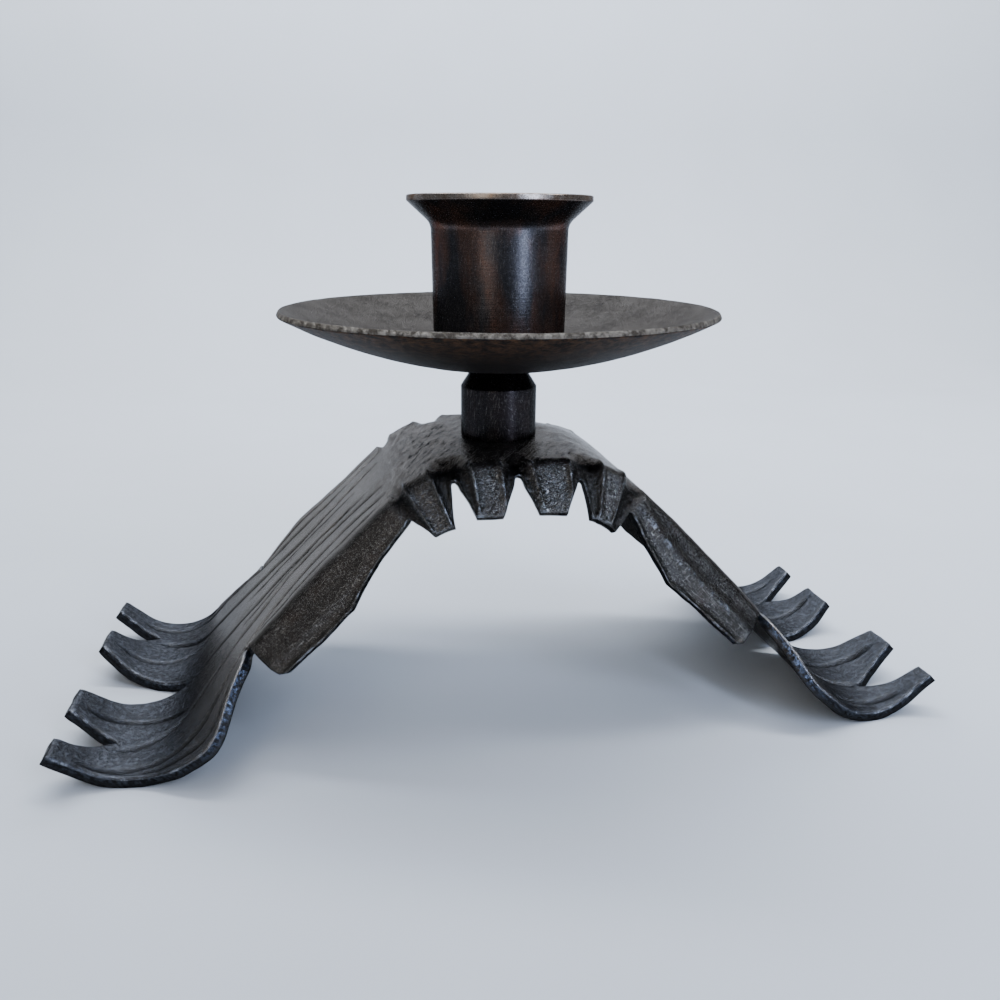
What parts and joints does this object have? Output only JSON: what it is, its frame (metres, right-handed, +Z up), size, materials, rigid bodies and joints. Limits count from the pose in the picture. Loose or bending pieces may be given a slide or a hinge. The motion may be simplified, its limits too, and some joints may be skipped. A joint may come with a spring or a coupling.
{
  "type": "candle holder",
  "caption": "Candle holder: a flared cup over a dished drip pan on a round collar, screwed to an arched forged plate with folded tabs and split, curled feet.",
  "frame": {"origin": "on the floor, under the middle of the stack: the bottom centre of the whole part", "axes": "+X along the arch from leg to leg, +Y across the plate away from the pictured side, +Z up along the candle"},
  "size_m": [0.176, 0.0884, 0.1038],
  "materials": {
    "forged_steel": "forge-blackened mild steel, brushed back on its edges and waxed",
    "turned_steel": "turned steel, fire-blackened and waxed, fine turning lines",
    "pan_steel": "spun and planished steel sheet, blackened, rubbed back inside and waxed",
    "fastener_steel": "plain machine screw steel, dull"
  },
  "bodies": {
    "root": {"base_plate": "forged_steel", "collar": "turned_steel", "drip_pan": "pan_steel", "candle_cup": "turned_steel", "clamp_screw": "fastener_steel", "washer": "fastener_steel", "clamp_nut": "fastener_steel"}
  },
  "joints": []
}
